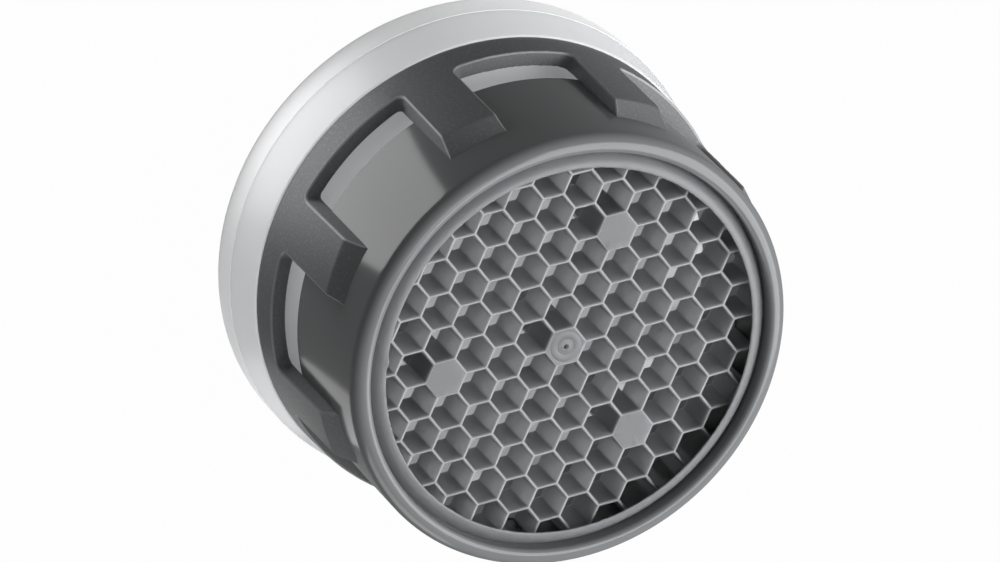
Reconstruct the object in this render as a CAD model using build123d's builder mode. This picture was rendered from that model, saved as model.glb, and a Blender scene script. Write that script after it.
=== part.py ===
from build123d import *
import os
from math import asin, ceil, cos, hypot, radians, sin, sqrt, tan

# Tap aerator insert, in millimetres. It stands on its inlet end at z = 0, and the outlet faces +Z.

# Heights of the parts that stack up along the axis, from the inlet end
washer_height = 1.65
collar_height = 2.2
band_height = 1.55
slot_height = 1.45
skirt_height = 6.52

# Housing: a thin shell with air windows, fused to a lower skirt that ends in the outlet lip
skirt_radius = 10.05
shut_off_overlap = 0.03
band_wall = 0.68
neck_wall = 0.4
neck_height = 1.2
pillar_stand = 0.53
pillar_length = 4.6
pillar_chamfer_length = 0.97
pillar_edge_round = 0.08
pillar_width = 2.7
window_count = 8
window_corner = 0.6
window_inner_corner = 0.05
lip_wall = 0.8
lip_round = 0.55
lip_inner_round = 0.22
ledge_width = 0.3

# Outlet grid: a honeycomb with a raised ring on its edge, and solid cells that run on as posts
grid_recess = 0.77
grid_clearance = 0.04
grid_edge_wall = 0.2
honeycomb_depth = 2.0
cell_pitch = 1.6
cell_wall = 0.15
ring_width = 0.7
ring_foot = 0.33
ring_edge = 0.1
ring_rise = 0.44
ring_outer_rise = 0.05
ring_inner_rise = 0.53
post_count = 3
post_length = 3.0
gate_radius = 0.42
gate_height = 0.06
gate_pit_radius = 0.14
gate_pit_depth = 0.25

# Jet former: a cup with a collar that grips the housing's neck, and a ring of jets
former_clearance = 0.05
collar_wall = 0.65
collar_overhang = 0.08
collar_edge_round = 0.1
plate_above_shoulder = 1.15
former_plate = 1.0
former_wall = 0.9
jet_diameter = 0.8
jet_count = 16
jet_circle = 7.7

# Strainer: a perforated disc in a seat at the mouth of the jet former
strainer_thickness = 0.8
strainer_seat = 0.6
strainer_hole = 1.0
strainer_pitch = 1.5

# Sealing washer on the inlet end, which also holds the strainer in
washer_width = 2.3
washer_end_round = 0.5
washer_edge_round = 0.12

# Places worked out from the sizes above
shoulder_z = washer_height + collar_height
neck_z = shoulder_z - neck_height
window_z = shoulder_z + band_height
slot_z = window_z + slot_height
crest_z = slot_z + skirt_height
kink_z = window_z + pillar_length
tip_z = kink_z + pillar_chamfer_length
grid_z = crest_z - grid_recess
ledge_z = grid_z - honeycomb_depth
plate_z = shoulder_z + plate_above_shoulder
strainer_z = washer_height

bore_radius = skirt_radius - shut_off_overlap
band_radius = bore_radius + band_wall
neck_radius = bore_radius + neck_wall
pillar_radius = skirt_radius + pillar_stand
lip_bore = skirt_radius - lip_wall
chamber_radius = lip_bore - ledge_width
grid_radius = lip_bore - grid_clearance
ring_inner = grid_radius - ring_width
plug_radius = bore_radius - former_clearance
cup_radius = plug_radius - former_wall
strainer_radius = cup_radius + strainer_seat
collar_bore = neck_radius + former_clearance
collar_radius = collar_bore + collar_wall
collar_top_radius = band_radius + collar_overhang
washer_bore = collar_radius - washer_width


def lattice(pitch, reach):
    """Centres of a hexagonal lattice with a row along X, out to a distance from the axis."""
    steps = ceil(2 * reach / pitch)
    span = range(-steps, steps + 1)
    points = [(pitch * (i + j / 2), pitch * sqrt(3) / 2 * j) for i in span for j in span]
    return [point for point in points if hypot(*point) < reach]


# Windows: rounded openings that run out past the pillars' tips. Four mould slides make two windows each, so
# a pillar's side lies along its own middle plane, or along the slide's way where two slides part in a window.
half_pitch = radians(180 / window_count)
window_half_angle = half_pitch - asin(pillar_width / 2 / skirt_radius)
window_foot = skirt_radius * cos(window_half_angle)
foot_width = 2 * skirt_radius * sin(window_half_angle)


def window(lean):
    """Cutter for a window whose sides lean out by an angle from the window's own direction."""
    window_length = tip_z - window_z + 2 * window_corner
    with BuildPart() as cutter:
        for reach, corner in ((chamber_radius, window_inner_corner), (band_radius, window_corner)):
            width = foot_width + 2 * tan(lean) * (reach - window_foot)
            with BuildSketch(Plane.YZ.offset(reach)):
                with Locations((0, window_z + window_length / 2)):
                    RectangleRounded(width, window_length, corner)
        loft(ruled=True)
    return cutter.part


with BuildPart() as housing:
    # The pillars' chamfer runs on through the skirt's face to the shell's bore
    chamfer_end_z = tip_z + shut_off_overlap * pillar_chamfer_length / pillar_stand
    with BuildSketch(Plane.XZ):
        with BuildLine():
            Polyline(
                (bore_radius, neck_z),
                (neck_radius, neck_z),
                (neck_radius, shoulder_z),
                (band_radius, shoulder_z),
                (pillar_radius, kink_z),
                (bore_radius, chamfer_end_z),
                close=True,
            )
        make_face()
    revolve(axis=Axis.Z)
    for lean, start in ((half_pitch, 180 / window_count), (2 * half_pitch, 540 / window_count)):
        with PolarLocations(0, window_count // 2, start_angle=start):
            add(window(lean), mode=Mode.SUBTRACT)
    proud_edges = [
        edge
        for edge in housing.edges()
        if edge.center().Z > shoulder_z + pillar_edge_round
        and all(hypot(corner.X, corner.Y) > skirt_radius + shut_off_overlap for corner in edge.vertices())
    ]
    fillet(proud_edges, pillar_edge_round)
    with BuildSketch(Plane.XZ):
        with BuildLine():
            Polyline(
                (chamber_radius, slot_z),
                (skirt_radius, slot_z),
                (skirt_radius, crest_z),
                (lip_bore, crest_z),
                (lip_bore, ledge_z),
                (chamber_radius, ledge_z),
                close=True,
            )
        skirt_face = make_face()
        crest = skirt_face.vertices().group_by(Axis.Y)[-1].sort_by(Axis.X)
        fillet(crest[-1], lip_round)
        fillet(crest[0], lip_inner_round)
    revolve(axis=Axis.Z)

# Outlet grid: the centre cell and the cells of the post circle stay solid
post_circle = 2 * sqrt(3) * cell_pitch
cell_radius = (cell_pitch - cell_wall) / sqrt(3)
post_radius = cell_pitch / sqrt(3)
honeycomb_radius = grid_radius - grid_edge_wall
post_ring = PolarLocations(post_circle, post_count, start_angle=90)
post_places = [(0, 0)] + [(place.position.X, place.position.Y) for place in post_ring]
open_cells = [
    cell
    for cell in lattice(cell_pitch, honeycomb_radius)
    if all(hypot(cell[0] - x, cell[1] - y) > cell_pitch / 2 for x, y in post_places)
]
with BuildSketch() as cells:
    with Locations(*open_cells):
        RegularPolygon(cell_radius, 6, rotation=30)
    Circle(honeycomb_radius, mode=Mode.INTERSECT)

with BuildPart() as outlet_grid:
    with BuildSketch(Plane.XZ):
        with BuildLine():
            ring_top = ThreePointArc(
                (grid_radius, grid_z + ring_outer_rise),
                (grid_radius - ring_width / 2, grid_z + ring_rise),
                (ring_inner, grid_z + ring_inner_rise),
            )
            Polyline(
                ring_top @ 1,
                (ring_inner, grid_z + ring_inner_rise - ring_edge),
                (grid_radius - ring_foot, grid_z),
                (grid_radius, grid_z),
                ring_top @ 0,
            )
        make_face()
    revolve(axis=Axis.Z)
    with BuildSketch(Plane.XY.offset(ledge_z)):
        with Locations(*post_places):
            RegularPolygon(post_radius, 6, rotation=30)
    extrude(amount=-post_length)
    with BuildSketch(Plane.XY.offset(grid_z)):
        Circle(gate_radius)
    extrude(amount=gate_height)
    with BuildSketch(Plane.XY.offset(ledge_z)):
        Circle(grid_radius)
        add(cells.sketch, mode=Mode.SUBTRACT)
    extrude(amount=honeycomb_depth)
    with BuildSketch(Plane.XY.offset(grid_z + gate_height)):
        Circle(gate_pit_radius)
    extrude(amount=-gate_pit_depth, mode=Mode.SUBTRACT)

with BuildPart() as jet_former:
    channel_z = neck_z - former_clearance
    seat_radius = strainer_radius + former_clearance
    seat_z = strainer_z + strainer_thickness
    with BuildSketch(Plane.XZ):
        with BuildLine():
            Polyline(
                (0, plate_z),
                (plug_radius, plate_z),
                (plug_radius, channel_z),
                (collar_bore, channel_z),
                (collar_bore, shoulder_z),
                (collar_top_radius, shoulder_z),
                (collar_radius, washer_height),
                (seat_radius, washer_height),
                (seat_radius, seat_z),
                (cup_radius, seat_z),
                (cup_radius, plate_z - former_plate),
                (0, plate_z - former_plate),
                close=True,
            )
        former_face = make_face()
        outer_corners = former_face.vertices().filter_by(
            lambda corner: corner.X > collar_bore + former_clearance
        )
        fillet(outer_corners, collar_edge_round)
    revolve(axis=Axis.Z)
    with BuildSketch(Plane.XY.offset(plate_z)):
        with PolarLocations(jet_circle, jet_count):
            Circle(jet_diameter / 2)
    extrude(amount=-former_plate, mode=Mode.SUBTRACT)

with BuildPart() as strainer:
    with BuildSketch(Plane.XY.offset(strainer_z)):
        Circle(strainer_radius)
        with Locations(*lattice(strainer_pitch, washer_bore - strainer_hole / 2)):
            Circle(strainer_hole / 2, mode=Mode.SUBTRACT)
    extrude(amount=strainer_thickness)

with BuildPart() as seal_washer:
    with BuildSketch(Plane.XZ) as washer_section:
        with Locations((washer_bore, 0)):
            Rectangle(washer_width, washer_height, align=(Align.MIN, Align.MIN))
        outer_corners = washer_section.vertices().group_by(Axis.X)[-1].sort_by(Axis.Y)
        fillet(outer_corners[0], washer_end_round)
        fillet(outer_corners[1], washer_edge_round)
    revolve(axis=Axis.Z)

os.makedirs("parts", exist_ok=True)
for name, piece in (
    ("housing", housing),
    ("outlet_grid", outlet_grid),
    ("jet_former", jet_former),
    ("strainer", strainer),
    ("seal_washer", seal_washer),
):
    piece.part.label = name
    export_step(piece.part, f"parts/{name}.step")
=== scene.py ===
"""Dresses a tap aerator insert: its housing, honeycomb outlet and inlet end, and the studio round it."""
from math import cos, pi, radians, sin, sqrt

import bmesh
import bpy
import numpy as np
from bpy.props import FloatProperty, FloatVectorProperty, IntProperty, PointerProperty
from bpy.types import Operator, Panel, PropertyGroup
from mathutils import Matrix, Vector


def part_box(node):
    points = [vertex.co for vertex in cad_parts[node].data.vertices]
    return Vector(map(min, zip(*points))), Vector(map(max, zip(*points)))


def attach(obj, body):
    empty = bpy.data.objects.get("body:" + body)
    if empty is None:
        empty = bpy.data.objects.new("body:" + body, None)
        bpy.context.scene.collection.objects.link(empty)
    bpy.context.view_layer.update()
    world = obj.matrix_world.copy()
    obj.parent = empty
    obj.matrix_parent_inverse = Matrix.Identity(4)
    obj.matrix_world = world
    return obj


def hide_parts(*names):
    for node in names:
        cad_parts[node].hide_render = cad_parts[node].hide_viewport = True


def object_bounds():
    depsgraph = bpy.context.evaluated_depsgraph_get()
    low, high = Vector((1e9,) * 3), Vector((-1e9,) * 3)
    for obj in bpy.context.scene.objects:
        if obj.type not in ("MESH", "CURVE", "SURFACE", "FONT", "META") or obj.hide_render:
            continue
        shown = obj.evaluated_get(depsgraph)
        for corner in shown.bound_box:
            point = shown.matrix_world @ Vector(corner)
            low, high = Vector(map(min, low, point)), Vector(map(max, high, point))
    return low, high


bl_info = {
    "name": "Tap Aerator Insert",
    "version": (1, 0, 0),
    "blender": (4, 5, 0),
    "location": "View3D > Sidebar > Aerator",
    "description": "Dresses a tap aerator insert and sets up its studio",
    "category": "Object",
}

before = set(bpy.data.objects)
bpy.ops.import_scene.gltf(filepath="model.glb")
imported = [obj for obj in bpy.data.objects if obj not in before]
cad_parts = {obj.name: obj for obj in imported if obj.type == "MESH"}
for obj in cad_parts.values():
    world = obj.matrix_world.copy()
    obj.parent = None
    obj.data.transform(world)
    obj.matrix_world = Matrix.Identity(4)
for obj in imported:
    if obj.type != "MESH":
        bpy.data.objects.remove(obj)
CAD_LOW, CAD_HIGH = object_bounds()
HOUSING_LOW, HOUSING_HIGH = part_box("housing")
GRID_LOW, GRID_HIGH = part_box("outlet_grid")
_, WASHER_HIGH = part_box("seal_washer")
MM = 0.001


# Property helpers

def linear(code):
    """An sRGB hex colour as linear red, green, blue and an alpha of one."""
    shares = [int(code[i:i + 2], 16) / 255 for i in (1, 3, 5)]
    return (*(s / 12.92 if s <= 0.04045 else ((s + 0.055) / 1.055) ** 2.4 for s in shares), 1.0)


def length(name, description, metres):
    """A length property, in metres."""
    return FloatProperty(
        name=name, description=description, default=metres, min=0, unit="LENGTH", precision=5
    )


def colour(name, description, code):
    """A colour property whose default is an sRGB hex colour."""
    return FloatVectorProperty(
        name=name, description=description, default=linear(code), size=4, min=0, max=1, subtype="COLOR"
    )


def angle(name, description, degrees):
    """An angle property whose default is in degrees."""
    return FloatProperty(name=name, description=description, default=radians(degrees), subtype="ANGLE")


def share(name, description, value):
    """A property from 0 to 1."""
    return FloatProperty(name=name, description=description, default=value, min=0, max=1, subtype="FACTOR")


def level(name, description, value):
    """A light's level, where 1 makes a white surface that faces it white."""
    return FloatProperty(name=name, description=description, default=value, min=0)


# What a user would change

class AeratorHousing(PropertyGroup):
    """Sizes and colours of the housing."""

    crest_z: length("Crest", "Height of the outlet lip's crest", HOUSING_HIGH.z)
    neck_z: length("Neck", "Height of the neck's inlet end", HOUSING_LOW.z)
    band_radius: length("Band radius", "Outside of the band at its shoulder", HOUSING_HIGH.x)
    neck_radius: length("Neck radius", "Outside of the neck inside the collar", 10.42 * MM)
    shoulder_z: length("Shoulder", "Height where the band starts", 3.85 * MM)
    window_z: length("Window", "Height of the windows' edge on the band", 5.4 * MM)
    slot_z: length("Slot", "Height of the skirt's inlet edge, above the air slot", 6.85 * MM)
    kink_z: length("Kink", "Height where the pillars start to slope in", 10.0 * MM)
    tip_z: length("Tip", "Height where the pillars die out on the skirt", 10.97 * MM)
    ledge_z: length("Ledge", "Height of the ledge that carries the honeycomb", 10.6 * MM)
    bore_radius: length("Bore radius", "Inside of the shell", 10.02 * MM)
    pillar_radius: length("Pillar radius", "Outside of the pillars at their kink", 10.58 * MM)
    skirt_radius: length("Skirt radius", "Outside of the skirt", 10.05 * MM)
    lip_bore: length("Lip bore", "Inside of the outlet lip", 9.25 * MM)
    chamber_radius: length("Chamber radius", "Inside of the skirt below the ledge", 8.95 * MM)
    window_count: IntProperty(name="Windows", description="Air windows round the shell", default=8, min=3)
    pillar_width: length("Pillar width", "Width of a pillar where it meets the skirt", 2.7 * MM)
    window_corner: length("Window corner", "Corner radius of a window, at the band's outside", 0.6 * MM)
    window_inner_corner: length("Inner corner", "Corner radius of a window, at the chamber", 0.05 * MM)
    edge_round: length("Edge round", "Radius of the windows' outer edges", 0.08 * MM)
    kink_round: length("Kink round", "Softness of the pillars' kink", 0.05 * MM)
    kink_tilt: length("Kink tilt", "Rise of a pillar's kink to one side, and its fall to the other", 0.2 * MM)
    lip_round: length("Lip round", "Outer radius of the outlet lip", 0.55 * MM)
    lip_inner_round: length("Lip inner round", "Inner radius of the outlet lip", 0.22 * MM)
    small_round: length("Small round", "Radius of the skirt's other edges", 0.05 * MM)
    flash: length("Flash", "Reach of the flash on the windows that a worn slide makes", 0.03 * MM)
    plastic: colour("Plastic", "Grey acetal of the housing", "#888a8c")
    # The windows' outer edges get a paler colour, painted on as a highlight
    arris: colour("Arris", "Grey acetal on the windows' outer edges, which are rubbed pale", "#b4b6b8")


class AeratorGrid(PropertyGroup):
    """Sizes and colours of the outlet grid."""

    radius: length("Radius", "Outside of the grid", GRID_HIGH.x)
    top_z: length("Top", "Height of the honeycomb's outlet face", 12.6 * MM)
    bottom_z: length("Bottom", "Height of the honeycomb's inlet face", 10.6 * MM)
    post_z: length("Post end", "Height where the posts end", GRID_LOW.z)
    pitch: length("Pitch", "Distance from cell to cell", 1.6 * MM)
    wall: length("Wall", "Thickness of a cell's wall", 0.15 * MM)
    wall_round: length("Wall round", "Radius of the walls' top edges", 0.07 * MM)
    cell_corner: length("Cell corner", "Radius in the corners of a cell", 0.09 * MM)
    edge_wall: length("Edge wall", "Wall round the honeycomb", 0.2 * MM)
    ring_width: length("Ring width", "Width of the raised ring", 0.7 * MM)
    ring_foot: length("Ring foot", "Width of the raised ring on the honeycomb", 0.33 * MM)
    ring_edge: length("Ring edge", "Thickness of the ring's inner edge", 0.1 * MM)
    ring_rise: length("Ring rise", "Height of the ring's middle over the honeycomb", 0.44 * MM)
    ring_outer_rise: length("Outer rise", "Height of the ring's outer edge", 0.05 * MM)
    ring_inner_rise: length("Inner rise", "Height of the ring's inner edge", 0.53 * MM)
    post_count: IntProperty(name="Posts", description="Posts on the post circle", default=3, min=0)
    gate_radius: length("Gate radius", "Outside of the moulding gate's mark", 0.37 * MM)
    rim_reach: length("Rim reach", "How far the rim's outside is pressed towards the lip", 0.035 * MM)
    burr: length("Burr", "Tallest moulding burr on the walls' tops", 0.035 * MM)
    flash: length("Flash", "Reach of the flash on the ring's inner edge", 0.03 * MM)
    tear_angle: angle("Tear", "Where the ring's inner edge is torn", 198.2)
    plastic: colour("Plastic", "Grey acetal of the grid", "#8c8e90")
    # The walls' tops get a paler colour, painted on as a highlight
    tops: colour("Wall tops", "Grey acetal on the walls' tops, which are rubbed pale", "#b4b6b8")


class AeratorInlet(PropertyGroup):
    """Sizes of the washer and colours of the pieces at the inlet end."""

    washer_radius: length("Washer radius", "Outside of the washer", WASHER_HIGH.x)
    washer_height: length("Washer height", "From the inlet end to the collar", WASHER_HIGH.z)
    washer_width: length("Washer width", "From the washer's bore to its outside", 2.3 * MM)
    washer_round: length("Washer round", "Radius of the washer's edge at the inlet end", 0.5 * MM)
    collar_round: length("Collar round", "Radius of the collar's edge over the washer", 0.1 * MM)
    former: colour("Jet former", "Natural acetal of the jet former", "#dddfe1")
    strainer: colour("Strainer", "Natural acetal of the strainer", "#dddfe1")
    washer: colour("Washer", "Silicone of the washer", "#f7f8f9")


class AeratorStage(PropertyGroup):
    """The camera, the lamps and the floor."""

    azimuth: angle("Azimuth", "Where the camera stands round the part", -115.3595)
    elevation: angle("Elevation", "How high the camera stands over the outlet's plane", 56.0930)
    roll: angle("Roll", "How far the camera is turned about its line of sight", 135.4683)
    distance: length("Distance", "From the camera to the point it aims at", 424.044 * MM)
    aim: FloatVectorProperty(
        name="Aim",
        description="Point on the honeycomb's plane that the camera aims at",
        default=(-4.3377 * MM, 2.0168 * MM, 12.6 * MM),
        subtype="TRANSLATION",
        precision=5,
    )
    focal_length: FloatProperty(
        name="Focal length", description="Of a camera with a 36 mm sensor, in millimetres", default=360
    )
    key: level("Key", "Level of the softbox on the right, which shines in through the windows there", 1.3)
    overhead: level("Overhead", "Level of the small softbox over the outlet", 0.08)
    fill: level("Fill", "Level of the high softbox on the left", 0.03)
    front: level("Front", "Level of the low softbox in front", 0.28)
    inlet: level("Inlet", "Level of the low softboxes that light only the white pieces", 1.08)
    card: level("Card", "Brightness of the bounce card on the floor by the camera", 2.4)
    front_card: level("Front card", "Brightness of the small bounce card on the floor in front", 0.8)
    ambient: level("Ambient", "Level of the room's even light", 0.03)
    room_mirrored: level("Room mirrored", "Brightness of the pale room that shows in reflections", 0.25)
    floor: colour("Floor", "Floor in its own light", "#585858")
    floor_white: share("Floor white", "Share of the floor's white that doesn't depend on the lamps", 0.985)
    floor_mirrored: share("Floor mirrored", "Share of that white which shows in reflections", 0.2)


class AeratorSettings(PropertyGroup):
    """Everything that can be set on the aerator and its stage."""

    housing: PointerProperty(type=AeratorHousing)
    grid: PointerProperty(type=AeratorGrid)
    inlet: PointerProperty(type=AeratorInlet)
    stage: PointerProperty(type=AeratorStage)


# Surfaces

def quads_of(index):
    """Quad faces of a grid of vertex numbers, whose last two axes are the grid's rows and columns."""
    corners = (index[..., :-1, :-1], index[..., 1:, :-1], index[..., 1:, 1:], index[..., :-1, 1:])
    return np.stack(corners, -1).reshape(-1, 4)


def numbered(points):
    """Vertex numbers of an array of points, in the array's own layout."""
    return np.arange(points[..., 0].size).reshape(points.shape[:-1])


def looped(index, axis):
    """Vertex numbers with the first line repeated at the end, which closes the grid along that axis."""
    return np.concatenate([index, np.take(index, [0], axis)], axis)


def revolved(profile, count):
    """A closed profile of (radius, height) carried round the axis: x = r cos a, y = r sin a, z = h."""
    turn = np.linspace(0, 2 * pi, count, endpoint=False)[:, None]
    radius, height = profile[..., 0], profile[..., 1]
    points = np.stack([radius * np.cos(turn), radius * np.sin(turn), height + 0 * turn], -1)
    return points, quads_of(looped(looped(numbered(points), 0), 1))


def rounded(corners, steps=8):
    """A closed outline from (x, y, radius) corners: each corner becomes a tangent arc, with a point past
    both of its ends that keeps the straight runs' shading flat. The point lies a quarter of the radius away,
    or less on a short run."""
    corners = np.array(corners)
    place, radius = corners[:, :2], corners[:, 2:]
    back = np.roll(place, 1, 0) - place
    ahead = np.roll(place, -1, 0) - place
    back /= np.linalg.norm(back, axis=1, keepdims=True)
    ahead /= np.linalg.norm(ahead, axis=1, keepdims=True)
    half = np.arccos(np.clip((back * ahead).sum(1, keepdims=True), -1, 1)) / 2
    middle = back + ahead
    middle /= np.linalg.norm(middle, axis=1, keepdims=True)
    centre = place + middle * radius / np.sin(half)
    swing = np.linspace(-1, 1, steps + 1) * (pi / 2 - half)
    across = (ahead - back) / np.linalg.norm(ahead - back, axis=1, keepdims=True)
    arc = -middle[:, None] * np.cos(swing)[..., None] + across[:, None] * np.sin(swing)[..., None]
    arc = centre[:, None] + arc * radius[:, None]
    tangent = radius / np.tan(half)
    gap = np.linalg.norm(np.roll(place, -1, 0) - place, axis=1, keepdims=True)
    run = gap - tangent - np.roll(tangent, -1, 0)
    before = arc[:, 0] + back * np.minimum(0.25 * radius, 0.4 * np.roll(run, 1, 0))
    after = arc[:, -1] + ahead * np.minimum(0.25 * radius, 0.4 * run)
    return np.concatenate([before[:, None], arc, after[:, None]], 1).reshape(-1, 2)


def grain(x, y, size, seed):
    """Smooth random heights from -1 to 1: random values on a square lattice of that spacing, eased
    between its points by 3 s squared less 2 s cubed. The lattice repeats far outside the part."""
    count = 256
    table = np.random.default_rng(seed).uniform(-1, 1, (count, count))
    column, row = np.floor(x / size).astype(int), np.floor(y / size).astype(int)
    s, t = x / size - column, y / size - row
    s, t = s * s * (3 - 2 * s), t * t * (3 - 2 * t)

    def value(i, j):
        """The random value at a corner of the lattice's square round each place."""
        return table[(column + i) % count, (row + j) % count]

    low = value(0, 0) * (1 - s) + value(1, 0) * s
    high = value(0, 1) * (1 - s) + value(1, 1) * s
    return low * (1 - t) + high * t


def smooth_least(a, b, width):
    """The lesser of two lengths, with the corner between them eased by a parabola over that width."""
    blend = np.clip(0.5 + 0.5 * (b - a) / width, 0, 1)
    return b + (a - b) * blend - width * blend * (1 - blend)


def make_piece(name, sheets, materials, node):
    """Joins sheets of (points, quads, material number) into one closed mesh that stands for a CAD node.
    Points closer than the merging distance become one, and edges sharper than the crease angle stay sharp."""
    merging, crease = 0.0002 * MM, radians(38)
    points = np.concatenate([sheet[0].reshape(-1, 3) for sheet in sheets])
    starts = np.cumsum([0] + [sheet[0].size // 3 for sheet in sheets])
    quads = np.concatenate([sheet[1] + start for sheet, start in zip(sheets, starts)])
    numbers = np.concatenate([np.full(len(sheet[1]), sheet[2]) for sheet in sheets])
    mesh = bpy.data.meshes.new(name)
    mesh.from_pydata(points.tolist(), [], quads.tolist())
    mesh.polygons.foreach_set("material_index", numbers)
    for material in materials:
        mesh.materials.append(material)
    work = bmesh.new()
    work.from_mesh(mesh)
    bmesh.ops.remove_doubles(work, verts=work.verts, dist=merging)
    bmesh.ops.dissolve_degenerate(work, edges=work.edges, dist=merging / 2)
    bmesh.ops.recalc_face_normals(work, faces=work.faces)
    open_edges = sum(not edge.is_manifold for edge in work.edges)
    if open_edges:
        print(f"{name}: {open_edges} edges are open")
    work.to_mesh(mesh)
    work.free()
    mesh.shade_smooth()
    mesh.set_sharp_from_angle(angle=crease)
    piece = bpy.data.objects.new(name, mesh)
    bpy.context.scene.collection.objects.link(piece)
    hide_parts(node)
    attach(piece, "root")
    return piece


# Housing

def shell_end_z(size):
    """Height where the pillars' slope, run on through the skirt, comes to the shell's bore."""
    slope = (size.tip_z - size.kink_z) / (size.pillar_radius - size.skirt_radius)
    return size.kink_z + slope * (size.pillar_radius - size.bore_radius)


def shell_radius(size, z, lift):
    """Outside of the shell at a height: a slight taper from the shoulder to the kink, which a lift moves
    up, then a slope to the shell's end."""
    taper = (size.pillar_radius - size.band_radius) / (size.kink_z - size.shoulder_z)
    kink_z = size.kink_z + lift
    kink_radius = size.pillar_radius + taper * lift
    slope = (size.bore_radius - kink_radius) / (shell_end_z(size) - kink_z)
    band = size.band_radius + taper * (z - size.shoulder_z)
    return smooth_least(band, kink_radius + slope * (z - kink_z), size.kink_round)


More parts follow.
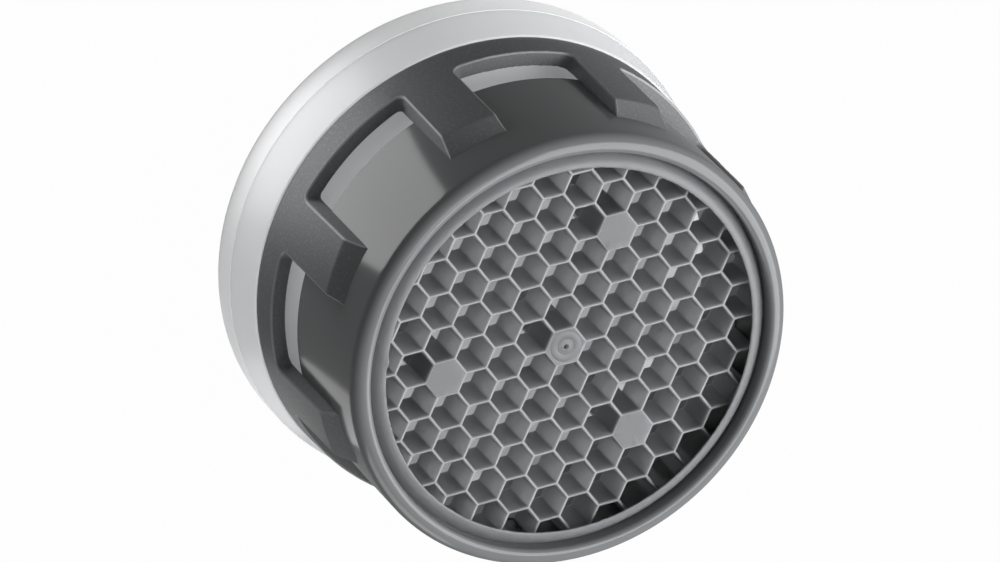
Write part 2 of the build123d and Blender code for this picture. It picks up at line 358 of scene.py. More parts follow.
def shell_sector(size, lean, tilt, flash, seed):
    """One window with the shell round it, about the X axis: a section that turns over the window's edge is
    carried along that edge, from the tip of one pillar round the band to the tip of the next. The window's
    sides lean out by an angle, the pillars' kink is tilted, and flash draws the edges out raggedly. It gives
    the outer face, the rounded arris, the window's wall with the inner face, and the neck below them."""
    pillar_half = pi / size.window_count
    half_angle = pillar_half - np.arcsin(size.pillar_width / 2 / size.skirt_radius)
    foot_x, foot_y = size.skirt_radius * cos(half_angle), size.skirt_radius * sin(half_angle)
    widening = (size.window_corner - size.window_inner_corner) / (size.band_radius - size.chamber_radius)
    end_z, corner_z = shell_end_z(size), size.window_z + size.window_corner

    # Half of the edge: down a pillar's side with close rows at its kink, round the corner, along the band
    near = 0.25 * MM
    sides = np.r_[
        np.linspace(end_z, size.kink_z + near, 7)[:-1],
        np.linspace(size.kink_z + near, size.kink_z - near, 21)[:-1],
        np.linspace(size.kink_z - near, corner_z, 20),
    ]
    fall = (sides - corner_z) / (end_z - corner_z)
    turn = np.linspace(pi, 1.5 * pi, 17)[1:]
    run = np.linspace(1, 0, 40)[1:]
    still, flat = np.ones(len(sides)), np.ones(len(run))
    halves = len(turn) // 2

    def mirrored(values, sign=1):
        """Values along the whole edge, from those along its first half."""
        return np.concatenate([values, sign * values[..., -2::-1]], -1)

    def outline(x):
        """The window's outline in the plane at each x, from a pillar's tip round the band to the next."""
        side = foot_y + np.tan(lean) * (x - foot_x)
        corner = size.window_inner_corner + widening * (x - size.chamber_radius)
        y_side, y_run = np.r_[still, 1 + 0 * turn, 0 * run], np.r_[0 * still, 0 * turn, run]
        y_corner = np.r_[0 * still, 1 + np.cos(turn), -run]
        z_corner = np.r_[1 - fall, 1 + np.sin(turn), 0 * run]
        y = -mirrored(y_side + y_run, -1) * side + mirrored(y_corner, -1) * corner
        z = size.window_z + mirrored(z_corner) * corner
        return y, z + mirrored(np.r_[fall, 0 * turn, 0 * run]) * (end_z - size.window_z)

    # The direction from the window's edge into the shell, and the shell's far edge, where the band's part
    # is a little narrower than the window
    into_y = mirrored(np.r_[-still, np.cos(turn), 0 * flat], -1)
    into_z = mirrored(np.r_[0 * still, np.sin(turn), -flat])
    run_angle = -0.85 * half_angle * np.r_[1, run]
    far_angle = mirrored(np.r_[
        -pillar_half * still,
        np.full(halves, -pillar_half),
        np.linspace(-pillar_half, run_angle[0], halves + 1)[1:],
        run_angle[1:],
    ], -1)
    drop = np.linspace(0, 1, halves + 1)[1:]
    far_share = np.r_[drop, np.ones(halves), flat]
    far_outer = mirrored(np.r_[sides, corner_z + far_share * (size.shoulder_z - corner_z)])
    far_inner = mirrored(np.r_[sides, corner_z + far_share * (size.neck_z - corner_z)])

    def at_edge(radius_of, margin):
        """Where the window meets a surface of revolution, moved into the shell by a margin. The outline
        depends on x, and x on the outline, so a few rounds bring them together."""
        x, rounds = foot_x, 12
        for _ in range(rounds):
            y, z = outline(x)
            y, z = y + into_y * margin, z + into_z * margin
            x = np.sqrt(radius_of(z) ** 2 - y**2)
        return x, y, z

    def outside(heights, shares=0.0):
        """Radius of the outer face, whose kink is tilted at the window and level at the pillar's middle."""
        return shell_radius(size, heights, tilt * (1 - shares))

    def inside(heights, shares=0.0):
        """Radius of the inner face, which is the same everywhere."""
        return size.bore_radius + 0 * heights

    def across(radius_of, far_z, shares, margin):
        """Rows from the shell's far edge up to the window's edge."""
        x, y, z = at_edge(radius_of, margin)
        start = np.arctan2(y, x)
        shares = shares[:, None]
        angles, heights = start + shares * (far_angle - start), z + shares * (far_z - z)
        radii = radius_of(heights, shares)
        return np.stack([radii * np.cos(angles), radii * np.sin(angles), heights], -1)

    def turned(rounding, swing, radius_of, sign):
        """Rows of a quarter round on the window's edge, drawn out by the flash in the middle of the round."""
        swing = swing[:, None]
        depth = sign * (rounding * (1 - np.cos(swing)) - torn * np.sin(2 * swing))
        return np.stack(at_edge(lambda z: radius_of(z) - depth, rounding * (1 - np.sin(swing))), -1)

    # Flash and rounds fade out with the shell's thickness, towards the pillars' tips
    y, z = outline(foot_x)
    room = np.maximum(outside(z) - size.bore_radius, 0)
    along = np.cumsum(np.hypot(np.diff(y, prepend=y[0]), np.diff(z, prepend=z[0])))
    nicks = 0.5 + 0.5 * grain(along, 0 * along, 0.1 * MM, seed)
    torn = np.clip(nicks + grain(along, 0 * along, 1.1 * MM, seed + 50), 0, 1)
    torn = flash * torn * np.clip(room / (0.3 * MM), 0, 1)
    edge = np.minimum(size.edge_round, 0.45 * room)
    inner_edge = np.minimum(0.3 * size.edge_round, 0.1 * room)
    shares = np.r_[np.linspace(1, 0.2, 7), 0.1, 0.04, 0.012, 0]
    swing = np.linspace(0, pi / 2, 9)
    face = across(outside, far_outer, shares, edge)
    arris = np.concatenate([face[-1:], turned(edge, swing[1:], outside, 1)])
    wall = np.concatenate([
        arris[-1:],
        turned(inner_edge, swing[::-1], inside, -1),
        across(inside, far_inner, shares[::-1][1:], inner_edge),
    ])
    bottom = far_outer <= size.shoulder_z + 1e-9
    section = np.array([
        (size.band_radius, size.shoulder_z),
        (size.neck_radius, size.shoulder_z),
        (size.neck_radius, size.neck_z),
        (size.bore_radius, size.neck_z),
    ])
    radius, height = section[:, :1], section[:, 1:]
    foot_angle = far_angle[bottom]
    neck = np.stack([radius * np.cos(foot_angle), radius * np.sin(foot_angle), height + 0 * foot_angle], -1)
    return face, arris, wall, neck


def skirt_profile(size):
    """Section of the skirt: its outside, the outlet lip, the ledge for the honeycomb and the chamber."""
    small = size.small_round
    return rounded([
        (size.chamber_radius, size.slot_z, small),
        (size.skirt_radius, size.slot_z, small),
        (size.skirt_radius, size.crest_z, size.lip_round),
        (size.lip_bore, size.crest_z, size.lip_inner_round),
        (size.lip_bore, size.ledge_z, small),
        (size.chamber_radius, size.ledge_z, small),
    ])


class AERATOR_OT_housing(Operator):
    """Makes the housing: a shell with air windows and pillars, and the skirt with the outlet lip"""

    bl_idname = "aerator.housing"
    bl_label = "Housing"

    def execute(self, context):
        size = context.scene.aerator.housing
        finishes = [
            spark_eroded_acetal(size.plastic),
            polished_acetal(size.plastic),
            painted_highlight_acetal(size.arris),
        ]
        # The third finish paints the arris paler than the faces, as a highlight
        grained, polished, painted = range(3)
        worn_windows, sound_slide = (1, 2), 0.15
        sheets = []
        half_pitch = pi / size.window_count
        for k in range(size.window_count):
            # Four mould slides make two windows each: their sides lie along the pillars' own middle planes,
            # or along the slides' ways where two slides part in a window. A worn slide leaves more flash.
            lean, tilt = (2 * half_pitch, -size.kink_tilt) if k % 2 else (half_pitch, size.kink_tilt)
            flash = size.flash if k in worn_windows else sound_slide * size.flash
            turn = np.array(Matrix.Rotation((2 * k + 1) * half_pitch, 3, "Z"))
            parts = shell_sector(size, lean, tilt, flash, 20 + k)
            for part, number in zip(parts, (grained, painted, grained, grained)):
                sheets.append((part @ turn.T, quads_of(numbered(part)), number))
        sheets.append((*revolved(skirt_profile(size), 384), polished))
        make_piece("housing_shell", sheets, finishes, "housing")
        return {"FINISHED"}


# Outlet grid

def hexagon(pitch, steps):
    """Points round a cell of the lattice, on the middle of its walls: six straight sides of equal steps."""
    corner = np.radians(30 + 60 * np.arange(7))
    corner = pitch / sqrt(3) * np.stack([np.cos(corner), np.sin(corner)], -1)
    along = np.arange(steps)[:, None] / steps
    return (corner[:-1, None] + along * (corner[1:] - corner[:-1])[:, None]).reshape(-1, 2)


def round_cornered_hexagon(width, corner, steps):
    """Points round the inside of a cell, one for each point of the lattice cell: a smaller hexagon grown by
    the corner radius, so the sides stay straight and the corners are arcs."""
    vertex = np.radians(30 + 60 * np.arange(7))
    core = (width / 2 - corner) * 2 / sqrt(3) * np.stack([np.cos(vertex), np.sin(vertex)], -1)
    along = np.arange(steps) / steps
    reach = 2 / steps
    travel = np.clip((along - reach) / (1 - 2 * reach), 0, 1)[:, None]
    base = core[:-1, None] + travel * (core[1:] - core[:-1])[:, None]
    bend = np.radians(30) * (np.clip(along / reach, 0, 1) + np.clip((along - 1 + reach) / reach, 0, 1))
    facing = vertex[:-1, None] + bend
    return (base + corner * np.stack([np.cos(facing), np.sin(facing)], -1)).reshape(-1, 2)


def lattice(pitch, reach):
    """Centres of a hexagonal lattice with a row along X, out to a distance from the axis."""
    steps = int(2 * reach / pitch) + 2
    i, j = np.meshgrid(np.arange(-steps, steps + 1), np.arange(-steps, steps + 1))
    centres = np.stack([pitch * (i + j / 2), pitch * sqrt(3) / 2 * j], -1).reshape(-1, 2)
    return centres[np.hypot(*centres.T) < reach]


def held_inside(start, points, radius):
    """Points drawn back towards a start until they lie inside a circle about the axis, where the way to them
    meets it, and which of them were moved."""
    way = points - start
    along = (start * way).sum(-1)
    square = (way**2).sum(-1)
    room = radius**2 - (start**2).sum(-1)
    scale = (np.sqrt(along**2 + square * room) - along) / square
    moved = scale < 1 - 1e-9
    return start + way * np.minimum(scale, 1)[..., None], moved


def burrs(size, x, y):
    """Height of the moulding burrs on the walls' tops: rare short peaks and a slight unevenness."""
    peaks = np.clip(grain(x, y, 0.11 * MM, 5) * 2.2 + grain(x, y, 0.9 * MM, 6) - 1.35, 0, 1)
    return size.burr * (peaks + 0.12 * grain(x, y, 0.3 * MM, 7))


def rim_middle(size):
    """Radius of the circle, within the rim's wall, at which the honeycomb's cells are cut off."""
    return size.radius - 0.75 * size.edge_wall


def cell_walls(size, centres, steps):
    """Open cells: for each, a section from the middle of the wall over its rounded top, down the cell's
    side and out along the bottom, carried round the cell. Cells at the edge are cut off by the rim. The quads
    of the walls' tops, which are painted pale as a highlight, come apart from the others."""
    start = centres[:, None]
    middle, moved = held_inside(start, start + hexagon(size.pitch, steps), rim_middle(size))
    width = size.pitch - size.wall
    inner, _ = held_inside(
        start, start + round_cornered_hexagon(width, size.cell_corner, steps), size.radius - size.edge_wall
    )

    # Rows of the section: shares of the way from the wall's middle to the cell's side, and depths
    swing = np.linspace(0, pi / 2, 6)
    bulge = size.wall_round / (size.wall / 2)
    top_share, top_drop = 1 - bulge * (1 - np.sin(swing)), size.wall_round * (1 - np.cos(swing))
    shares = np.r_[0, top_share, 1, 1, 1, top_share[-2::-2], 0]
    depth = size.top_z - size.bottom_z
    drops = np.r_[0, top_drop, 0.15 * depth, 0.5 * depth, 0.9 * depth, depth - top_drop[-2::-2], depth]
    flat = middle[:, None] + shares[:, None, None] * (inner - middle)[:, None]
    on_top = np.r_[1, np.linspace(1, 0.3, len(swing)), np.zeros(len(shares) - len(swing) - 1)][:, None]
    height = size.top_z - drops[:, None] + on_top * burrs(size, flat[..., 0], flat[..., 1])
    points = np.concatenate([flat, height[..., None]], -1)

    # Where the rim cuts a cell off, quads from the last row back to the first close its wall
    index = looped(numbered(points), 2)
    rim = looped(moved, 1)
    rim = rim[:, :-1] | rim[:, 1:]
    closing = np.stack([index[:, -1, :-1], index[:, 0, :-1], index[:, 0, 1:], index[:, -1, 1:]], -1)[rim]
    pale = 2  # Strips from the wall's middle that are painted pale, as a highlight
    tops, sides = quads_of(index[:, :pale + 1]), quads_of(index[:, pale:])
    return points, tops, np.concatenate([sides, closing])


def solid_cells(size, centres, steps):
    """Cells at the rim that stay solid: caps from the middle of the walls to a point in the cell, which lies
    inside the cut by an inset, on the top and on the bottom."""
    limit, inset = rim_middle(size), 0.05 * MM
    distance = np.hypot(*centres.T)[:, None]
    start = (centres * np.minimum(1, (limit - inset) / distance))[:, None]
    middle, moved = held_inside(start, centres[:, None] + hexagon(size.pitch, steps), limit)
    shares = np.r_[0, 0.5, 1, 1, 0.5, 0]
    on_top = np.r_[1, 1, 1, 0, 0, 0][:, None]
    flat = start[:, None] + shares[:, None, None] * (middle - start)[:, None]
    top_z = size.top_z + burrs(size, flat[..., 0], flat[..., 1])
    height = size.bottom_z + on_top * (top_z - size.bottom_z)
    points = np.concatenate([flat, height[..., None]], -1)
    index = looped(numbered(points), 2)
    rim = looped(moved, 1)
    rim = rim[:, :-1] | rim[:, 1:]
    closing = np.stack([index[:, 2, :-1], index[:, 3, :-1], index[:, 3, 1:], index[:, 2, 1:]], -1)[rim]
    return points, np.concatenate([quads_of(index[:, :3]), quads_of(index[:, 3:]), closing])


def post(size, centre, mark, steps):
    """A solid cell that runs on as a post: a hexagon prism whose top carries a turned mark of (radius,
    rise) pairs, and whose end is flat."""
    outline = hexagon(size.pitch, steps)
    facing = outline / np.linalg.norm(outline, axis=1, keepdims=True)
    radius, rise = mark[:, :1], mark[:, 1:]
    top = np.stack([radius * facing[:, 0], radius * facing[:, 1], size.top_z + rise + 0 * facing[:, 0]], -1)
    rim_z = size.top_z + burrs(size, *(outline + centre).T)
    rim = np.concatenate([outline, rim_z[:, None]], 1)[None]
    shaft = [np.concatenate([s * outline, np.full((len(outline), 1), z)], 1)[None]
             for s, z in ((1, size.bottom_z), (1, size.post_z), (0.5, size.post_z), (0, size.post_z))]
    cap, stem = np.concatenate([top, rim]), np.concatenate(shaft)
    for rows in (cap, stem):
        rows[..., :2] += centre
    return [(rows, quads_of(looped(numbered(rows), 1))) for rows in (cap, stem)]


def gate_mark(size):
    """The moulding gate's mark as (radius, rise) pairs: a small pit where the gate tore off, the low rim of
    the tear, and two faint grooves round it, at the mark's edge and near the edge of the post."""
    reach = size.gate_radius / MM
    pit = [(0, -0.24), (0.06, -0.23), (0.09, -0.16), (0.1, -0.02)]
    rim = [(0.125, 0.03), (0.16, 0.04), (0.2, 0.025), (0.25, 0.012)]
    mark_edge = [(reach - 0.04, 0.01), (reach - 0.02, 0.008), (reach, -0.01), (reach + 0.02, 0)]
    outer_groove = [(0.69, 0), (0.71, -0.008), (0.73, 0)]
    return MM * np.array(pit + rim + mark_edge + outer_groove)


def ring_profile(size):
    """Section of the grid's rim: the wall round the honeycomb, and a ring that leans in over the cells and
    whose top bows down, as a parabola, to the rim's outside."""
    inner = size.radius - size.ring_width
    crown = np.array([
        (inner, size.ring_inner_rise),
        (size.radius - size.ring_width / 2, size.ring_rise),
        (size.radius, size.ring_outer_rise),
    ])
    bow = np.polynomial.Polynomial.fit(crown[:, 0], crown[:, 1], 2)
    blunt = size.ring_edge / 2
    r = np.linspace(inner + blunt, size.radius, 17)
    crest = np.stack([r, size.top_z + bow(r)], -1)
    swing = np.linspace(-0.5 * pi, 0.5 * pi, 9)
    centre_z = crest[0, 1] - blunt
    nose = np.stack([inner + blunt - blunt * np.cos(swing), centre_z + blunt * np.sin(swing)], -1)
    wall, foot = size.radius - size.edge_wall, size.radius - size.ring_foot
    under = size.top_z - 0.01 * MM
    outside = size.radius + size.rim_reach
    return np.concatenate([
        [(wall, size.bottom_z), (wall, under), (foot, under), (foot - 0.02 * MM, under + 0.02 * MM)],
        nose[:-1], crest, [(outside, crest[-1, 1]), (outside, size.bottom_z)],
    ])


def ring(size):
    """The grid's rim: its section carried round the axis, with a ragged inner edge that flash has drawn in
    and up here and there, most of all at one tear, which fades out on both sides as a bell curve."""
    points, quads = revolved(ring_profile(size), 640)
    x, y, z = np.moveaxis(points, -1, 0)
    radius, turn = np.hypot(x, y), np.arctan2(y, x)
    edge_depth, edge_z, tear_width = 0.12 * MM, size.top_z + 0.2 * MM, 0.03
    from_edge = radius - size.radius + size.ring_width
    near = np.clip(1 - from_edge / edge_depth, 0, 1) * (z > edge_z)
    nicks = np.clip(grain(x, y, 0.09 * MM, 12) + grain(x, y, 1.4 * MM, 13) - 0.75, 0, 1)
    rough = 0.35 * grain(x, y, 0.13 * MM, 11) + nicks
    from_tear = np.angle(np.exp(1j * (turn - size.tear_angle)))
    tear = np.exp(-((from_tear / tear_width) ** 2))
    drawn = size.flash * near * (rough + tear * (2.2 + grain(x, y, 0.06 * MM, 14)))
    shrink = 1 - drawn / radius
    return np.stack([x * shrink, y * shrink, z + 0.6 * drawn], -1), quads


class AERATOR_OT_outlet_grid(Operator):
    """Makes the outlet grid: the honeycomb, its posts and the raised ring"""

    bl_idname = "aerator.outlet_grid"
    bl_label = "Outlet Grid"

    def execute(self, context):
        size = context.scene.aerator.grid
        # The second finish paints the walls' tops paler, as a highlight
        finishes = [satin_acetal("satin_acetal", size.plastic), satin_acetal("satin_acetal_painted_highlight", size.tops)]
        satin, pale = range(2)
        steps = 8  # Points along each side of a cell
        inside = size.radius - size.edge_wall
        turns = radians(90) + 2 * pi * np.arange(size.post_count) / size.post_count
        post_circle = 2 * sqrt(3) * size.pitch
        places = np.concatenate([[(0, 0)], post_circle * np.stack([np.cos(turns), np.sin(turns)], -1)])
        centres = lattice(size.pitch, inside + size.pitch / 2)
        gaps = np.linalg.norm(centres[:, None] - places, axis=2).min(1)
        centres = centres[gaps > size.pitch / 2]
        is_open = np.hypot(*centres.T) < inside
        points, tops, sides = cell_walls(size, centres[is_open], steps)
        sheets = [
            (points, tops, pale),
            (points, sides, satin),
            (*solid_cells(size, centres[~is_open], steps), satin),
            (*ring(size), satin),
        ]
        flat_mark = np.array([(0, 0), (0.2 * MM, 0), (0.5 * MM, 0)])
        for i, place in enumerate(places):
            parts = post(size, place, flat_mark if i else gate_mark(size), steps)
            sheets += [(*part, satin) for part in parts]
        make_piece("honeycomb_outlet", sheets, finishes, "outlet_grid")
        return {"FINISHED"}


# Finishes

def add_node(tree, kind, inputs=None, **settings):
    """Adds a node of that kind, sets its settings, and fills its inputs with values or links."""
    node = tree.nodes.new(kind)
    for name, value in settings.items():
        setattr(node, name, value)
    for name, value in (inputs or {}).items():
        if isinstance(value, bpy.types.NodeSocket):
            tree.links.new(value, node.inputs[name])
        else:
            node.inputs[name].default_value = value
    return node


def new_material(name):
    """A material without nodes, and its node tree."""
    material = bpy.data.materials.new(name)
    material.use_nodes = True
    material.node_tree.nodes.clear()
    return material, material.node_tree


def spark_eroded_acetal(plastic):
    """Grey acetal from a spark-eroded mould: a fine dull grain, with pale specks painted on its peaks as
    glints.
    The grain is drawn at 0.11 mm, several times as coarse as a real one, so that it shows."""
    material, tree = new_material("spark_eroded_acetal")
    place = add_node(tree, "ShaderNodeTexCoord").outputs["Object"]
    grit = add_node(tree, "ShaderNodeTexNoise", {"Vector": place, "Scale": 1 / (0.11 * MM), "Detail": 2.0})
    bump = add_node(tree, "ShaderNodeBump", {
        "Height": grit.outputs["Fac"], "Strength": 0.5, "Distance": 0.02 * MM,
    })
    # Pale specks painted on the grain's peaks stand for glints
    painted_glint = add_node(tree, "ShaderNodeMapRange", {
        "Value": grit.outputs["Fac"], "From Min": 0.52, "From Max": 0.78, "To Max": 0.22,
    })
    # A Mix node's colour sockets share their names with its other sockets, so they go by number
    paint = add_node(tree, "ShaderNodeMix", data_type="RGBA", inputs={
        0: painted_glint.outputs["Result"], 6: plastic, 7: linear("#dcdddf"),
    })
    shader = add_node(tree, "ShaderNodeBsdfPrincipled", {
        "Base Color": paint.outputs[2], "Roughness": 0.52, "IOR": 1.48, "Normal": bump.outputs["Normal"],
    })
    add_node(tree, "ShaderNodeOutputMaterial", {"Surface": shader.outputs["BSDF"]})
    return material


def polished_acetal(plastic):
    """Grey acetal from a polished mould: smooth and slightly wavy, with soft clear reflections."""
    material, tree = new_material("polished_acetal")
    place = add_node(tree, "ShaderNodeTexCoord").outputs["Object"]
    wave = add_node(tree, "ShaderNodeTexNoise", {"Vector": place, "Scale": 1 / (1.5 * MM), "Detail": 3.0})
    bump = add_node(tree, "ShaderNodeBump", {
        "Height": wave.outputs["Fac"], "Strength": 0.1, "Distance": 0.02 * MM,
    })
    shader = add_node(tree, "ShaderNodeBsdfPrincipled", {
        "Base Color": plastic, "Roughness": 0.15, "IOR": 1.48, "Normal": bump.outputs["Normal"],
    })
    add_node(tree, "ShaderNodeOutputMaterial", {"Surface": shader.outputs["BSDF"]})
    return material


def painted_highlight_acetal(plastic):
    """Grey acetal on an edge: paler than the faces, a highlight painted on, and smoother, so it shines."""
    material, tree = new_material("painted_highlight_acetal")
    shader = add_node(tree, "ShaderNodeBsdfPrincipled", {
        "Base Color": plastic, "Roughness": 0.3, "IOR": 1.48,
    })
    add_node(tree, "ShaderNodeOutputMaterial", {"Surface": shader.outputs["BSDF"]})
    return material


def satin_acetal(name, plastic):
    """Grey acetal as moulded in a fine honeycomb: satin, with a faint grain on its flats, and walls so
    thin that light soaks through them. The grain is drawn at 0.09 mm, coarser than a real one, so that it
    shows."""
    material, tree = new_material(name)
    place = add_node(tree, "ShaderNodeTexCoord").outputs["Object"]
    grit = add_node(tree, "ShaderNodeTexNoise", {"Vector": place, "Scale": 1 / (0.09 * MM), "Detail": 2.0})
    bump = add_node(tree, "ShaderNodeBump", {
        "Height": grit.outputs["Fac"], "Strength": 0.4, "Distance": 0.02 * MM,
    })
    shader = add_node(tree, "ShaderNodeBsdfPrincipled", {
        "Base Color": plastic, "Roughness": 0.36, "IOR": 1.48, "Normal": bump.outputs["Normal"],
        "Subsurface Weight": 1.0, "Subsurface Radius": (1, 1, 1), "Subsurface Scale": 1.1 * MM,
    })
    add_node(tree, "ShaderNodeOutputMaterial", {"Surface": shader.outputs["BSDF"]})
    return material


def translucent(name, paint, roughness, depth, weight):
    """Natural acetal or white silicone as moulded: milky, because light enters it a little way, so that its
    edges glow."""
    material, tree = new_material(name)
    shader = add_node(tree, "ShaderNodeBsdfPrincipled", {
        "Base Color": paint, "Roughness": roughness, "IOR": 1.48,
        "Subsurface Weight": weight, "Subsurface Radius": (1, 1, 1), "Subsurface Scale": depth,
    })
    add_node(tree, "ShaderNodeOutputMaterial", {"Surface": shader.outputs["BSDF"]})
    return material


def washer_profile(size):
    """Section of the washer: a round at the inlet end, straight sides, and an upper edge pressed into the
    seam under the collar's round."""
    radius, height, seam = size.washer_radius, size.washer_height, size.collar_round
    bore, bore_round, edge_round = radius - size.washer_width, 0.1 * MM, 0.02 * MM
    body = rounded([
        (bore, 0, bore_round),
        (radius, 0, size.washer_round),
        (radius, height, edge_round),
        (bore, height, bore_round),
    ])
    # The points of the upper edge give way to the pressed ones, which are measured by the seam
    edge = np.abs(body - [radius, height]).max(1) < seam / 2
    pressed = [radius, height] + seam * np.array([(0, -0.5), (0.03, 0.85), (-0.5, 1.25), (-1, 0)])
    at = int(np.argmax(edge))
    return np.concatenate([body[:at], pressed, body[~edge][at:]])


class AERATOR_OT_inlet_end(Operator):
    """Makes the washer, and gives the jet former and the strainer their finishes"""

    bl_idname = "aerator.inlet_end"
    bl_label = "Inlet End"

    def execute(self, context):
        inlet = context.scene.aerator.inlet
        silicone = translucent("silicone", inlet.washer, roughness=0.5, depth=0.9 * MM, weight=0.15)
        sheet = (*revolved(washer_profile(inlet), 256), 0)
        make_piece("washer", [sheet], [silicone], "seal_washer")
        finishes = {
            "jet_former": translucent(
                "natural_acetal", inlet.former, roughness=0.35, depth=0.6 * MM, weight=0.5
            ),
            "strainer": translucent(
                "natural_acetal_strainer", inlet.strainer, roughness=0.4, depth=0.5 * MM, weight=0.5
            ),
        }
        for node, finish in finishes.items():
            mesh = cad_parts[node].data
            mesh.materials.clear()
            mesh.materials.append(finish)
        return {"FINISHED"}


# Stage

def add_softbox(name, azimuth, elevation, size, strength):
    """A square lamp that faces the part from an azimuth and elevation in degrees. Its power is worked out
    from the level that it gives a surface that faces it: pi squared times the level times the distance
    squared."""
    distance = 0.3
    a, e = radians(azimuth), radians(elevation)
    back = Vector((cos(a) * cos(e), sin(a) * cos(e), sin(e)))
    lamp = bpy.data.lights.new(name, "AREA")
    lamp.shape, lamp.size = "SQUARE", size
    lamp.energy = strength * pi**2 * distance**2
    softbox = bpy.data.objects.new(name, lamp)
    softbox.location = (CAD_LOW + CAD_HIGH) / 2 + back * distance
    softbox.rotation_euler = back.to_track_quat("Z", "Y").to_euler()
    softbox.visible_camera = False
    bpy.context.scene.collection.objects.link(softbox)
    return softbox


def light_alone(lamp, names):
    """Lets a lamp light only some of the objects, and lets only those cast shadows from it."""
    lit = bpy.data.collections.new(lamp.name + "_lit")
    for name in names:
        lit.objects.link(bpy.data.objects[name])
    lamp.light_linking.receiver_collection = lit
    lamp.light_linking.blocker_collection = lit


def add_card(name, azimuth, reach, width, depth, brightness):
    """A white card that lies on the floor at an azimuth in degrees, and lights the part from below. Its
    power is pi times its area times its brightness, where 1 is white."""
    a, lift = radians(azimuth), 0.05 * MM
    lamp = bpy.data.lights.new(name, "AREA")
    lamp.shape, lamp.size, lamp.size_y = "RECTANGLE", depth, width
    lamp.energy = pi * width * depth * brightness
    card = bpy.data.objects.new(name, lamp)
    card.location = (reach * cos(a), reach * sin(a), lift)
    card.rotation_euler = (pi, 0, a)
    card.visible_camera = False
    bpy.context.scene.collection.objects.link(card)


def add_camera(stage):
    """A camera that looks at the aim from an azimuth and elevation, rolled about its line of sight."""
    a, e = stage.azimuth, stage.elevation
    back = Vector((sin(a) * cos(e), -cos(a) * cos(e), sin(e)))
    camera = bpy.data.cameras.new("camera")
    camera.lens, camera.sensor_width = stage.focal_length, 36
    camera.clip_start, camera.clip_end = 0.01, 10
    upright = Vector((cos(a), sin(a), 0))
    turn = Matrix((upright, back.cross(upright), back)).transposed() @ Matrix.Rotation(stage.roll, 3, "Z")
    seat = bpy.data.objects.new("camera", camera)
    seat.matrix_world = Matrix.Translation(Vector(stage.aim) + back * stage.distance) @ turn.to_4x4()
    bpy.context.scene.collection.objects.link(seat)
    bpy.context.scene.camera = seat


def pale_floor(stage):
    """Matt floor, white to the camera and less so in reflections: only a small share of that white is
    lamplight, so the shadow on it is faint."""
    material, tree = new_material("pale_floor")
    light_path = add_node(tree, "ShaderNodeLightPath").outputs
    mirrored = add_node(tree, "ShaderNodeMath", operation="MULTIPLY", inputs={
        0: light_path["Is Glossy Ray"], 1: stage.floor_mirrored,
    })
    through = add_node(tree, "ShaderNodeMath", operation="MAXIMUM", inputs={
        0: light_path["Is Camera Ray"], 1: light_path["Is Transmission Ray"],
    })
    seen = add_node(tree, "ShaderNodeMath", operation="MAXIMUM", inputs={
        0: through.outputs[0], 1: mirrored.outputs[0],
    })
    weight = add_node(tree, "ShaderNodeMath", operation="MULTIPLY", inputs={
        0: seen.outputs[0], 1: stage.floor_white,
    })
    matt = add_node(tree, "ShaderNodeBsdfDiffuse", {"Color": stage.floor})
    white = add_node(tree, "ShaderNodeEmission", {"Color": (1, 1, 1, 1), "Strength": 1.0})
    both = add_node(tree, "ShaderNodeMixShader", {
        0: weight.outputs[0], 1: matt.outputs["BSDF"], 2: white.outputs["Emission"],
    })
    add_node(tree, "ShaderNodeOutputMaterial", {"Surface": both.outputs["Shader"]})
    return material


def pale_room(stage):
    """A room with a dim even light, which looks paler in reflections."""
    world = bpy.data.worlds.new("room")
    world.use_nodes = True
    tree = world.node_tree
    tree.nodes.clear()
    mirrored = add_node(tree, "ShaderNodeLightPath").outputs["Is Glossy Ray"]
    strength = add_node(tree, "ShaderNodeMath", operation="MULTIPLY_ADD", inputs={
        0: mirrored, 1: stage.room_mirrored, 2: stage.ambient,
    })
    shader = add_node(tree, "ShaderNodeBackground", {
        "Color": (1, 1, 1, 1), "Strength": strength.outputs[0],
    })
    add_node(tree, "ShaderNodeOutputWorld", {"Surface": shader.outputs["Background"]})
    return world


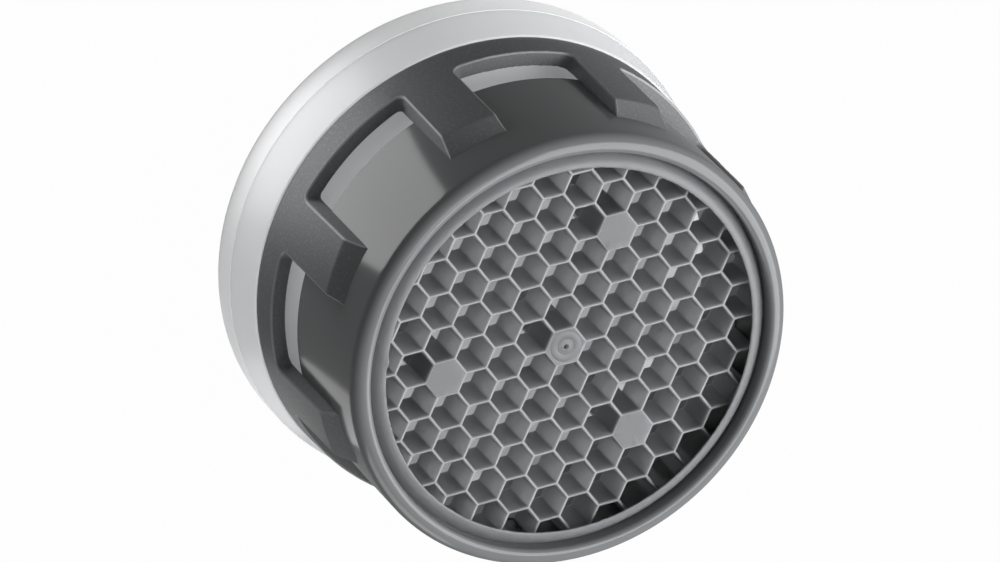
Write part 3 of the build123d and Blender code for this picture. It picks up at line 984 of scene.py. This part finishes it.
class AERATOR_OT_stage(Operator):
    """Sets up the floor, the lamps, the room's light and the camera"""

    bl_idname = "aerator.stage"
    bl_label = "Stage"

    def execute(self, context):
        stage = context.scene.aerator.stage
        scene = context.scene
        scene.view_settings.view_transform = "Standard"
        reach = 3.0
        corners = [(-reach, -reach, 0), (reach, -reach, 0), (reach, reach, 0), (-reach, reach, 0)]
        mesh = bpy.data.meshes.new("floor")
        mesh.from_pydata(corners, [], [(0, 1, 2, 3)])
        mesh.materials.append(pale_floor(stage))
        floor = bpy.data.objects.new("floor", mesh)
        scene.collection.objects.link(floor)
        add_softbox("key", azimuth=20, elevation=51, size=0.3, strength=stage.key)
        add_softbox("overhead", azimuth=0, elevation=88, size=0.1, strength=stage.overhead)
        add_softbox("fill", azimuth=180, elevation=70, size=0.15, strength=stage.fill)
        add_softbox("front", azimuth=274, elevation=12, size=0.2, strength=stage.front)
        # The softboxes of the white pieces stand for the glow that light from all sides gives them
        for azimuth, part in ((80, 1.0), (226, 0.9)):
            lamp = add_softbox(f"inlet_{azimuth}", azimuth, 12, size=0.4, strength=part * stage.inlet)
            light_alone(lamp, ("washer", "jet_former", "strainer"))
        add_card("card", 165, reach=17 * MM, width=11.5 * MM, depth=9 * MM, brightness=stage.card)
        add_card("front_card", 242, reach=14.5 * MM, width=6 * MM, depth=5 * MM, brightness=stage.front_card)
        scene.world = pale_room(stage)
        add_camera(stage)
        return {"FINISHED"}


class AERATOR_PT_panel(Panel):
    """Lists the aerator's pieces and its stage"""

    bl_idname = "AERATOR_PT_panel"
    bl_label = "Tap Aerator"
    bl_space_type = "VIEW_3D"
    bl_region_type = "UI"
    bl_category = "Aerator"

    def draw(self, context):
        settings = context.scene.aerator
        for operator, group in (
            ("aerator.housing", settings.housing),
            ("aerator.outlet_grid", settings.grid),
            ("aerator.inlet_end", settings.inlet),
            ("aerator.stage", settings.stage),
        ):
            box = self.layout.box()
            box.operator(operator)
            for name in group.__annotations__:
                box.prop(group, name)


CLASSES = (
    AeratorHousing,
    AeratorGrid,
    AeratorInlet,
    AeratorStage,
    AeratorSettings,
    AERATOR_OT_housing,
    AERATOR_OT_outlet_grid,
    AERATOR_OT_inlet_end,
    AERATOR_OT_stage,
    AERATOR_PT_panel,
)


def register():
    """Adds the classes, and the settings to the scene."""
    for item in CLASSES:
        bpy.utils.register_class(item)
    bpy.types.Scene.aerator = PointerProperty(type=AeratorSettings)


def unregister():
    """Takes the settings and the classes away again."""
    del bpy.types.Scene.aerator
    for item in reversed(CLASSES):
        bpy.utils.unregister_class(item)


def main():
    """Makes every piece and the stage."""
    register()
    bpy.ops.aerator.housing()
    bpy.ops.aerator.outlet_grid()
    bpy.ops.aerator.inlet_end()
    bpy.ops.aerator.stage()


if __name__ == "__main__":
    main()
